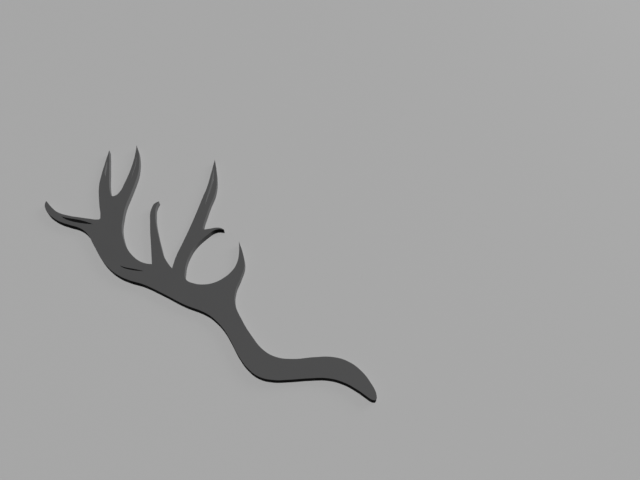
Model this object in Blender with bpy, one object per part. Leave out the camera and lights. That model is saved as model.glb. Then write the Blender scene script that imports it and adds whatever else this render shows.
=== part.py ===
# Flat antler: a branching silhouette with slits through it, cut from one board of even thickness
# World frame: metres, +Z up, the underside on Z = 0, the origin under the middle of the antler's box
import math

import bmesh
import bpy
from mathutils import Vector

MM = 0.001

# Driving dimensions in millimetres
THICKNESS = 10.0         # of the board
FORK_GAP = 0.3           # between two pieces that meet at a fork
CURVE_STEPS = 6          # straight steps from one outline point to the next
SAW_OVERRUN = 4.0        # how far a fork saw stands proud of the board, above and below
WELD = 0.01              # outline points closer than this are one point
GREY = (0.073, 0.073, 0.074, 1.0)
ROUGHNESS = 0.8

# Sharp points of the outline, seen from above
REAR_TIP = (-313, -134)
CROWN_OUTER_TIP = (-351.5, 17.1)
CROWN_INNER_TIP = (-325.9, 62.8)
CROWN_TREZ_CROTCH = (-60, -77)
TREZ_TIP = (-168.3, 9.4)
TREZ_BEZ_CROTCH = (-29.5, -58.5)
BEZ_TIP = (-183, 147.5)
SPUR_TIP = (-33.5, 51.8)
BROW_TIP = (4.8, 53.7)

# Each edge starts at a sharp point and runs smoothly to the sharp point that the next edge starts from
EDGES = (
    # Down the brow tine, along the top of the beam, round the base end and back under the beam
    [BROW_TIP, (29, 42.5), (50, 28.5), (63.5, 9.5), (76, -11), (94, -27.2), (125, -38.5), (155, -45),
     (184, -47.5), (205, -41.8), (224.4, -26.8), (244.4, -2.9), (263.6, 16.5), (284, 27), (308, 29.5),
     (330, 25.2), (340, 21.5), (344.9, 18.2), (347.7, 15.2), (348.4, 12.9), (347, 10.4), (342.8, 8.4),
     (335, 7.2), (322, 5.3), (300, -0.7), (281, -11.5), (262, -30.5), (243.2, -52.3), (228, -68),
     (210, -79), (190, -82), (165, -79), (140, -72.5), (118, -67.9), (98, -67), (78, -69.5),
     (40, -84.5), (0, -96.5), (-36.8, -109.1), (-60, -121), (-80, -128), (-105, -131.3),
     (-130, -130), (-160, -125), (-196, -120), (-215, -123.7), (-232, -132), (-250, -140),
     (-266, -144.1), (-283, -145.7), (-298, -143.5), (-308, -139.3)],
    # Rear tine, its fork, and up to the outer crown tine
    [REAR_TIP, (-290, -134.3), (-274, -132.4), (-250.5, -121.2), (-237.5, -112.4), (-220.5, -100.4),
     (-209.5, -92), (-206.8, -87.8), (-211.4, -83.8), (-236.2, -71.4), (-281, -46), (-300, -30.5),
     (-330, -3.3)],
    # Fork of the crown
    [CROWN_OUTER_TIP, (-338, 9.5), (-300, -13), (-260, -36.5), (-247, -42), (-240, -43.6),
     (-236.5, -38.5), (-239.4, -27.2), (-250, -12.3), (-280.4, 23.1), (-313.4, 53.5)],
    # Down the inner crown tine and the upper beam
    [CROWN_INNER_TIP, (-308, 56), (-290, 46.6), (-272, 34.9), (-256, 22.3), (-243, 9.4),
     (-218.4, -18.5), (-200.3, -39.4), (-182.3, -55.4), (-160, -71.8), (-140, -81.2), (-118, -88),
     (-97, -90), (-80, -88), (-67, -82.5)],
    # Out along the trez tine
    [CROWN_TREZ_CROTCH, (-97, -54.5), (-120, -40.8), (-140, -27.8), (-155, -17.8), (-164, -8.5),
     (-169.5, 1)],
    # Back along the trez tine
    [TREZ_TIP, (-164.6, 3.9), (-157.3, -4.4), (-148.2, -10.9), (-135.2, -19.4), (-100, -36.7),
     (-80, -45.5), (-62, -53), (-45, -57)],
    # Out along the bez tine
    [TREZ_BEZ_CROTCH, (-43.7, -41.5), (-60.5, -15.4), (-80, 14.5), (-104, 49), (-120.7, 72), (-133.3, 90.2),
     (-160, 121.5)],
    # Back along the bez tine and out over its spur
    [BEZ_TIP, (-165, 136.3), (-140, 119.3), (-121.5, 103.7), (-108.3, 88.8), (-97, 72), (-81.5, 51.5),
     (-66.5, 33), (-59.8, 27.4), (-54.7, 32.7), (-46, 45.7), (-40, 50.2)],
    # Under the spur and round the bowl between the bez and brow tines
    [SPUR_TIP, (-40.5, 46), (-44.3, 38), (-44.5, 25), (-42, 4), (-37.7, -10), (-31, -22.5), (-23, -34),
     (-12, -45), (4, -55), (20, -50), (31, -41.5), (40, -28.5), (44.5, -10), (43.2, 8), (39.5, 18.2),
     (33.5, 27.7), (24, 38)],
)

# Slits cut right through: the width of the widest part, then the points of the middle line
SLITS = {
    "rear_tine": (6.0, [(-260.5, -132.8), (-249, -128.7), (-237, -122.2), (-225.5, -114.9), (-214, -108),
                        (-204, -101.8)]),
    "upper_beam": (2.6, [(-95, -115.8), (-86.5, -113.2), (-76, -107), (-66, -100.3), (-57, -93.8)]),
    "crown_outer_tine": (2.8, [(-327, -2.5), (-317, -9), (-308.3, -15.7), (-299.7, -21.9),
                               (-291.5, -26.8)]),
    "crown_inner_tine": (1.0, [(-298, 45), (-286, 36.6), (-275, 27.2), (-264, 15.8), (-253, 5.5)]),
    "bez_tine": (3.2, [(-166, 133), (-154, 122.2), (-140, 108.9), (-125, 91.4), (-111, 74), (-102, 63.5)]),
}

# Where the antler is parted at its forks: each cut runs straight from one open side to the other
FORK_CUTS = (
    ((97, -22), (91, -74)),
    ((33, -35), (88, -15)),
    ((-31, -57.6), (-9, -43)),
    ((-61, -77.1), (-31, -57.6)),
    ((-61, -77.1), (-42, -117)),
    ((-208, -87.6), (-190, -126)),
    ((-208, -87.6), (-238.5, -40)),
    ((-238.5, -38), (-203, -28)),
)

# A point inside each piece
PIECES = {
    "lower_beam": (200, -60),
    "brow_tine": (55, 5),
    "middle_beam": (40, -65),
    "bez_tine": (-80, 30),
    "trez_tine": (-100, -45),
    "upper_beam": (-170, -95),
    "rear_tine": (-280, -140),
    "crown_outer_tine": (-270, -45),
    "crown_inner_tine": (-250, 5),
}


def clear_scene():
    for thing in list(bpy.data.objects):
        bpy.data.objects.remove(thing, do_unlink=True)


def new_collection(name):
    group = bpy.data.collections.new(name)
    bpy.context.scene.collection.children.link(group)
    return group


def board_material(name):
    material = bpy.data.materials.new(name)
    material.use_nodes = True
    shader = material.node_tree.nodes["Principled BSDF"]
    shader.inputs["Base Color"].default_value = GREY
    shader.inputs["Roughness"].default_value = ROUGHNESS
    shader.inputs["Metallic"].default_value = 0.0
    material.diffuse_color = GREY
    return material


# The two edges of a slit: a lens, pointed at both ends of its middle line
def slit_edges(width, middle_line):
    points = [Vector(point) for point in middle_line]
    last = len(points) - 1
    left = []
    right = []
    for i in range(1, last):
        along = (points[i + 1] - points[i - 1]).normalized()
        across = Vector((-along.y, along.x)) * width / 2 * math.sin(math.pi * i / last)
        left.append(points[i] + across)
        right.append(points[i] - across)
    return [points[0]] + left, [points[last]] + right[::-1]


# One closed line, sharp where an edge starts and smooth everywhere else
def add_outline(curve, edges):
    knots = [(point, place == 0) for edge in edges for place, point in enumerate(edge)]
    spline = curve.splines.new("BEZIER")
    spline.bezier_points.add(len(knots) - 1)
    spline.use_cyclic_u = True
    spline.resolution_u = CURVE_STEPS
    for knot, (point, _) in zip(spline.bezier_points, knots):
        knot.co = (point[0] * MM, point[1] * MM, 0)
    for knot, (_, is_sharp) in zip(spline.bezier_points, knots):
        knot.handle_left_type = "VECTOR" if is_sharp else "AUTO"
        knot.handle_right_type = "VECTOR" if is_sharp else "AUTO"


# The whole silhouette with its slits, as one closed mesh standing on Z = 0
def make_board(group):
    curve = bpy.data.curves.new("outline", "CURVE")
    curve.dimensions = "2D"
    curve.fill_mode = "BOTH"
    curve.extrude = THICKNESS / 2 * MM
    add_outline(curve, EDGES)
    for width, middle_line in SLITS.values():
        add_outline(curve, slit_edges(width, middle_line))
    outline = bpy.data.objects.new("outline", curve)
    outline.location.z = THICKNESS / 2 * MM
    group.objects.link(outline)
    graph = bpy.context.evaluated_depsgraph_get()
    mesh = bpy.data.meshes.new_from_object(outline.evaluated_get(graph))
    bm = bmesh.new()
    bm.from_mesh(mesh)
    bmesh.ops.remove_doubles(bm, verts=bm.verts, dist=WELD * MM)
    bmesh.ops.recalc_face_normals(bm, faces=bm.faces)
    bm.to_mesh(mesh)
    bm.free()
    board = bpy.data.objects.new("board", mesh)
    board.matrix_world = outline.matrix_world
    group.objects.link(board)
    bpy.data.objects.remove(outline, do_unlink=True)
    return board


# A saw blade as thick as the fork gap, standing on the line of the cut
def make_fork_saw(start, end, group):
    start = Vector(start) * MM
    end = Vector(end) * MM
    middle = (start + end) / 2
    run = end - start
    bpy.ops.mesh.primitive_cube_add(size=1, location=(middle.x, middle.y, THICKNESS / 2 * MM))
    saw = bpy.context.object
    saw.name = "fork_saw"
    saw.dimensions = (run.length, FORK_GAP * MM, (THICKNESS + 2 * SAW_OVERRUN) * MM)
    saw.rotation_euler.z = math.atan2(run.y, run.x)
    for home in saw.users_collection:
        home.objects.unlink(saw)
    group.objects.link(saw)
    saw.hide_render = True
    saw.display_type = "WIRE"
    return saw


def part_at_forks(board, cutters):
    for start, end in FORK_CUTS:
        cut = board.modifiers.new("fork", "BOOLEAN")
        cut.operation = "DIFFERENCE"
        cut.solver = "EXACT"
        cut.object = make_fork_saw(start, end, cutters)
    bpy.ops.object.select_all(action="DESELECT")
    board.select_set(True)
    bpy.context.view_layer.objects.active = board
    bpy.ops.object.convert(target="MESH")
    bpy.ops.object.mode_set(mode="EDIT")
    bpy.ops.mesh.select_all(action="SELECT")
    bpy.ops.mesh.separate(type="LOOSE")
    bpy.ops.object.mode_set(mode="OBJECT")
    return list(bpy.context.selected_objects)


# A piece is the one that a plumb line through its own point meets
def name_pieces(loose):
    for name, (x, y) in PIECES.items():
        for piece in loose:
            above = piece.matrix_world.inverted() @ Vector((x * MM, y * MM, 1))
            if piece.ray_cast(above, (0, 0, -1))[0]:
                piece.name = name
                piece.data.name = name
                piece.data.materials.clear()
                piece.data.materials.append(board_material(name))


# Moves the pieces so that the middle of their box stands over the origin
def centre_pieces(pieces):
    corners = [piece.matrix_world @ Vector(corner) for piece in pieces for corner in piece.bound_box]
    across = [corner.x for corner in corners]
    along = [corner.y for corner in corners]
    for piece in pieces:
        piece.location.x -= (min(across) + max(across)) / 2
        piece.location.y -= (min(along) + max(along)) / 2


def main():
    clear_scene()
    antler = new_collection("flat_antler")
    cutters = new_collection("cutters")
    board = make_board(antler)
    pieces = part_at_forks(board, cutters)
    name_pieces(pieces)
    centre_pieces(pieces)


main()
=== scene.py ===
import math
from itertools import combinations

import bmesh
import bpy
from mathutils import Matrix, Vector


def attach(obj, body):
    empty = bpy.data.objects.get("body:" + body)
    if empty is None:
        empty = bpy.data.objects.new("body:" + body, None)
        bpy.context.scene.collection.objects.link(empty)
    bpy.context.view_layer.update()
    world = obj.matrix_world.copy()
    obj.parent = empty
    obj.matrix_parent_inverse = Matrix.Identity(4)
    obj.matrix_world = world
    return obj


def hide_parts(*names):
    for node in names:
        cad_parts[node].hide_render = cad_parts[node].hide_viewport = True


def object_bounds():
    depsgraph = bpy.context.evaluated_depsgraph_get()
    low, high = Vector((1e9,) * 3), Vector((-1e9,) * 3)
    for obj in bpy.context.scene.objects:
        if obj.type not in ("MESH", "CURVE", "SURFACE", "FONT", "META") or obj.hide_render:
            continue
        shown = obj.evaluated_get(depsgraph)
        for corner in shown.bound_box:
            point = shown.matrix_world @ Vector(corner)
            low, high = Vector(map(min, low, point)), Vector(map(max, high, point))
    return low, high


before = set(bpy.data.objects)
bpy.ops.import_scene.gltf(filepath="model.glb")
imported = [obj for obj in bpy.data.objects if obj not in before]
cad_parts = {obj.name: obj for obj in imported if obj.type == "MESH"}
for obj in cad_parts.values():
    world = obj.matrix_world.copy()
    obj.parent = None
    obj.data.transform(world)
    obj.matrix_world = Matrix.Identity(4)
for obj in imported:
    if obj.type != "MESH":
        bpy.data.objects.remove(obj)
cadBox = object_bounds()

print("frame loaded")
mm = 0.001
noiseMiddle = 0.5   # the value that a noise swings round


# a socket of a node tree that adds, takes away and multiplies as numbers do
class Value:
    def __init__(self, finish, socket):
        self.finish = finish
        self.socket = socket

    def math(self, operation, first, second):
        return self.finish.node("ShaderNodeMath", {"operation": operation}, {0: first, 1: second})

    def __add__(self, other):
        return self.math("ADD", self, other)

    def __sub__(self, other):
        return self.math("SUBTRACT", self, other)

    def __rsub__(self, other):
        return self.math("SUBTRACT", other, self)

    def __mul__(self, other):
        return self.math("MULTIPLY", self, other)

    __radd__ = __add__
    __rmul__ = __mul__


# a material and its node tree, with one method for every kind of node
class Finish:
    def __init__(self, name, fixed):
        self.material = bpy.data.materials.new(name)
        self.material.use_nodes = True
        self.tree = self.material.node_tree
        self.shader = self.tree.nodes["Principled BSDF"]
        self.plug(self.shader, fixed)

    def plug(self, node, sockets):
        for key, value in sockets.items():
            if isinstance(value, Value):
                self.tree.links.new(value.socket, node.inputs[key])
            else:
                node.inputs[key].default_value = value

    def node(self, kind, settings, sockets, output=0):
        node = self.tree.nodes.new(kind)
        for key, value in settings.items():
            setattr(node, key, value)
        self.plug(node, sockets)
        return Value(self, node.outputs[output])

    # Object coordinates, scaled along each axis
    def place(self, scale):
        here = self.node("ShaderNodeTexCoord", {}, {}, "Object")
        return self.node("ShaderNodeMapping", {}, {"Vector": here, "Scale": scale})

    def noise(self, at, scale, detail, rough=0.5):
        return self.node("ShaderNodeTexNoise", {}, {
            "Vector": at, "Scale": scale, "Detail": detail, "Roughness": rough})

    def tone(self, grey, blueShare):
        return self.node("ShaderNodeCombineColor", {}, {
            "Red": grey, "Green": grey, "Blue": grey * blueShare})

    def bump(self, height, depth, strength):
        return self.node("ShaderNodeBump", {}, {
            "Strength": strength, "Distance": depth, "Height": height})

    def wear(self, **varying):
        self.plug(self.shader, varying)


# puts a mesh, a lamp or a camera into the scene as an object at the origin
def addObject(name, data):
    holder = bpy.data.objects.new(name, data)
    bpy.context.scene.collection.objects.link(holder)
    return holder


def addMesh(name, bm):
    mesh = bpy.data.meshes.new(name)
    bm.to_mesh(mesh)
    bm.free()
    return addObject(name, mesh)


boardFinish = {
    "grey": 0.073,
    "blueShare": 1.01,          # blue over red: the grey is a trace cold
    "mottleShade": 0.05,        # spread of the soft clouds, as a share of the grey
    "mottleSize": 34 * mm,
    "mottleDetail": 3,
    "speckShade": 0.07,
    "speckSize": 1.1 * mm,
    "speckDetail": 2,
    "roughness": 0.78,
    "roughnessSpread": 0.10,
    "grainSize": 0.5 * mm,
    "grainDetail": 3,
    "grainRough": 0.6,
    "grainDepth": 0.03 * mm,
    "grainStrength": 1.0,
    "gloss": 0.15,
}


# matte board: an even dark grey with soft clouds, fine specks and an orange-peel grain
def makeBoardFinish():
    look = boardFinish
    finish = Finish("matteBoard", {"Specular IOR Level": look["gloss"]})
    here = finish.place((1, 1, 1))
    cloud = finish.noise(here, 1 / look["mottleSize"], look["mottleDetail"])
    speck = finish.noise(here, 1 / look["speckSize"], look["speckDetail"])
    grain = finish.noise(here, 1 / look["grainSize"], look["grainDetail"], look["grainRough"])
    shade = 1 + look["mottleShade"] * (cloud - noiseMiddle) + look["speckShade"] * (speck - noiseMiddle)
    finish.wear(**{
        "Base Color": finish.tone(shade * look["grey"], look["blueShare"]),
        "Roughness": look["roughness"] + look["roughnessSpread"] * (cloud - noiseMiddle),
        "Normal": finish.bump(grain, look["grainDepth"], look["grainStrength"]),
    })
    return finish.material


cutFinish = {
    "grey": 0.073,
    "blueShare": 1.01,
    "stripeShade": 0.16,
    "stripeSize": (9 * mm, 9 * mm, 0.35 * mm),     # long along the wall, thin up it
    "stripeDetail": 2,
    "stripeDepth": 0.04 * mm,
    "stripeStrength": 0.6,
    "roughness": 0.84,
    "gloss": 0.08,
}


# cut edge: the same grey with fine tool lines along the wall
def makeCutFinish():
    look = cutFinish
    finish = Finish("cutEdge", {
        "Specular IOR Level": look["gloss"], "Roughness": look["roughness"]})
    along = finish.place([1 / size for size in look["stripeSize"]])
    stripe = finish.noise(along, 1, look["stripeDetail"])
    shade = 1 + look["stripeShade"] * (stripe - noiseMiddle)
    finish.wear(**{
        "Base Color": finish.tone(shade * look["grey"], look["blueShare"]),
        "Normal": finish.bump(stripe, look["stripeDepth"], look["stripeStrength"]),
    })
    return finish.material


antler = {
    "mergeReach": 0.001 * mm,   # corners closer than this are one corner
    "topReach": 0.01 * mm,      # corners this close to the top belong to the top faces
    "straightTurn": 0.05,       # degrees; a smaller turn of the outline is a straight run
    "shortestCut": 15 * mm,     # the cuts at the forks are longer than this
    "forkReach": 0.9 * mm,      # how far apart the ends of a cut's two sides may be
    "levelTurn": 1,             # degrees; triangles that differ by less become one flat face
    "upright": 0.99,            # a face whose normal is at least this upright is a flat one
    "rim": 0.25 * mm,           # width of the eased edges
    "rimSteps": 2,
    "pointTurn": 40,            # degrees; where the outline turns more than this it has a point
    "pointReach": 5 * mm,       # the rims stay sharp this close to a point
    "leastEdge": 0.002 * mm,    # shorter edges than this are closed up after the easing
    "sharpTurn": 20,            # degrees between two faces that aren't shaded as one
}


# the outlines of the nodes' top faces, as bare edges without a point on a straight run
def traceTops(top):
    bm = bmesh.new()
    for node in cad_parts.values():
        bm.from_mesh(node.data)
    bmesh.ops.remove_doubles(bm, verts=bm.verts, dist=antler["mergeReach"])
    lower = [vert for vert in bm.verts if vert.co.z < top - antler["topReach"]]
    bmesh.ops.delete(bm, geom=lower, context="VERTS")
    inner = [edge for edge in bm.edges if not edge.is_boundary]
    bmesh.ops.delete(bm, geom=inner, context="EDGES_FACES")
    bmesh.ops.delete(bm, geom=bm.faces, context="FACES_ONLY")
    bmesh.ops.dissolve_limit(bm, angle_limit=math.radians(antler["straightTurn"]),
                             verts=bm.verts, edges=bm.edges)
    return bm


# takes out both sides of the cut at each fork, so that one outline runs round all the nodes
def openForks(bm):
    straight = [edge for edge in bm.edges if edge.calc_length() > antler["shortestCut"]]
    merges = {}
    sides = []
    for first, second in combinations(straight, 2):
        match = {vert: min(second.verts, key=lambda end: (end.co - vert.co).length)
                 for vert in first.verts}
        if all((vert.co - end.co).length < antler["forkReach"] for vert, end in match.items()):
            merges.update(match)
            sides += [first, second]
    print("forks joined:", len(sides) // 2)
    bmesh.ops.delete(bm, geom=sides, context="EDGES_FACES")
    bmesh.ops.weld_verts(bm, targetmap=merges)


# whether a face belongs to the front or the back, and not to a cut wall
def isFlat(face):
    return abs(face.normal.z) > antler["upright"]


# a tiny round along the edges of the front and the back, but not at the points
def easeRims(bm):
    corners = [edge for edge in bm.edges if not any(isFlat(face) for face in edge.link_faces)
               and edge.calc_face_angle() > math.radians(antler["pointTurn"])]
    points = [vert.co.copy() for edge in corners for vert in edge.verts]
    rims = [edge for edge in bm.edges
            if [isFlat(face) for face in edge.link_faces].count(True) == 1
            and all((vert.co - point).length > antler["pointReach"]
                    for vert in edge.verts for point in points)]
    bmesh.ops.bevel(bm, geom=rims, offset=antler["rim"], offset_type="OFFSET",
                    segments=antler["rimSteps"], profile=0.5, affect="EDGES",
                    clamp_overlap=False, material=-1)
    bmesh.ops.dissolve_degenerate(bm, edges=bm.edges, dist=antler["leastEdge"])


# one plate from the joined outline: filled, given its thickness, and its rims eased
def makeAntler():
    low, high = cadBox
    bm = traceTops(high.z)
    openForks(bm)
    bmesh.ops.triangle_fill(bm, edges=bm.edges, normal=(0, 0, 1))
    bmesh.ops.dissolve_limit(bm, angle_limit=math.radians(antler["levelTurn"]),
                             verts=[], edges=bm.edges)
    sheet = bmesh.ops.extrude_face_region(bm, geom=bm.faces)
    back = [part for part in sheet["geom"] if isinstance(part, bmesh.types.BMVert)]
    bmesh.ops.translate(bm, verts=back, vec=(0, 0, low.z - high.z))
    bmesh.ops.recalc_face_normals(bm, faces=bm.faces)
    easeRims(bm)
    piece = addMesh("antler", bm)
    mesh = piece.data
    mesh.materials.append(makeBoardFinish())
    mesh.materials.append(makeCutFinish())
    for face in mesh.polygons:
        face.material_index = 0 if isFlat(face) else 1
        face.use_smooth = not isFlat(face)
    mesh.set_sharp_from_angle(angle=math.radians(antler["sharpTurn"]))
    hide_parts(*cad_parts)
    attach(piece, "root")


makeAntler()
print("antler made")

floorLook = {
    "size": 12.0,
    "below": 0.1 * mm,      # gap under the antler's back
    "grey": 0.42,
    "roughness": 0.9,
    "gloss": 0.1,
}


# a plain pale floor that doesn't throw its own light up on the cut walls
def makeFloor():
    bm = bmesh.new()
    bmesh.ops.create_grid(bm, x_segments=1, y_segments=1, size=floorLook["size"] / 2)
    bmesh.ops.translate(bm, verts=bm.verts, vec=(0, 0, -floorLook["below"]))
    floor = addMesh("floor", bm)
    grey = floorLook["grey"]
    paper = Finish("palePaper", {
        "Base Color": (grey, grey, grey, 1), "Roughness": floorLook["roughness"],
        "Specular IOR Level": floorLook["gloss"]})
    floor.data.materials.append(paper.material)
    floor.visible_diffuse = False


light = {
    "bearing": 79,          # degrees from +X towards +Y, where the light comes from
    "height": 25.5,         # degrees above the floor
    "softness": 26,         # degrees across, as seen from the antler
    "strength": 6.46,
    "shadowShare": 0.05,    # share of the strength that casts a shadow
    "room": 0.025,          # strength of the even light from all round
}


def makeSoftbox(name, strength, castsShadow):
    lamp = bpy.data.lights.new(name, "SUN")
    lamp.energy = strength
    lamp.angle = math.radians(light["softness"])
    lamp.use_shadow = castsShadow
    bearing = math.radians(light["bearing"])
    height = math.radians(light["height"])
    across = math.cos(height)
    towards = Vector((math.cos(bearing) * across, math.sin(bearing) * across, math.sin(height)))
    box = addObject(name, lamp)
    box.rotation_mode = "QUATERNION"
    box.rotation_quaternion = towards.to_track_quat("Z", "Y")


# a large far softbox, low on the far side, most of it without a shadow, and a faint room light
def makeLights():
    share = light["shadowShare"]
    makeSoftbox("fill", light["strength"] * (1 - share), False)
    makeSoftbox("key", light["strength"] * share, True)
    world = bpy.data.worlds.new("room")
    world.use_nodes = True
    sky = world.node_tree.nodes["Background"]
    sky.inputs["Color"].default_value = (1, 1, 1, 1)
    sky.inputs["Strength"].default_value = light["room"]
    scene = bpy.context.scene
    scene.world = world
    scene.view_settings.view_transform = "Standard"
    scene.view_settings.look = "None"


view = {
    "over": (0.46654, -0.21289),    # the spot that the camera hangs over
    "above": 0.6753,                # height over the antler's front face
    "turn": 45,                     # degrees, from +X to the picture's right
    "down": 52.6,                   # degrees that the camera looks below the horizon
    "lens": 28.125,                 # in millimetres, as the sensor's width
    "sensor": 36,
    "near": 0.05,
    "far": 50,
}


def makeCamera():
    camera = bpy.data.cameras.new("camera")
    camera.lens = view["lens"]
    camera.sensor_width = view["sensor"]
    camera.clip_start = view["near"]
    camera.clip_end = view["far"]
    turn = Matrix.Rotation(math.radians(view["turn"]), 4, "Z")
    tilt = Matrix.Rotation(math.radians(90 - view["down"]), 4, "X")
    place = (*view["over"], cadBox[1].z + view["above"])
    holder = addObject("camera", camera)
    holder.matrix_world = Matrix.Translation(place) @ turn @ tilt
    bpy.context.scene.camera = holder


makeFloor()
makeLights()
makeCamera()
print("floor, light and camera made")
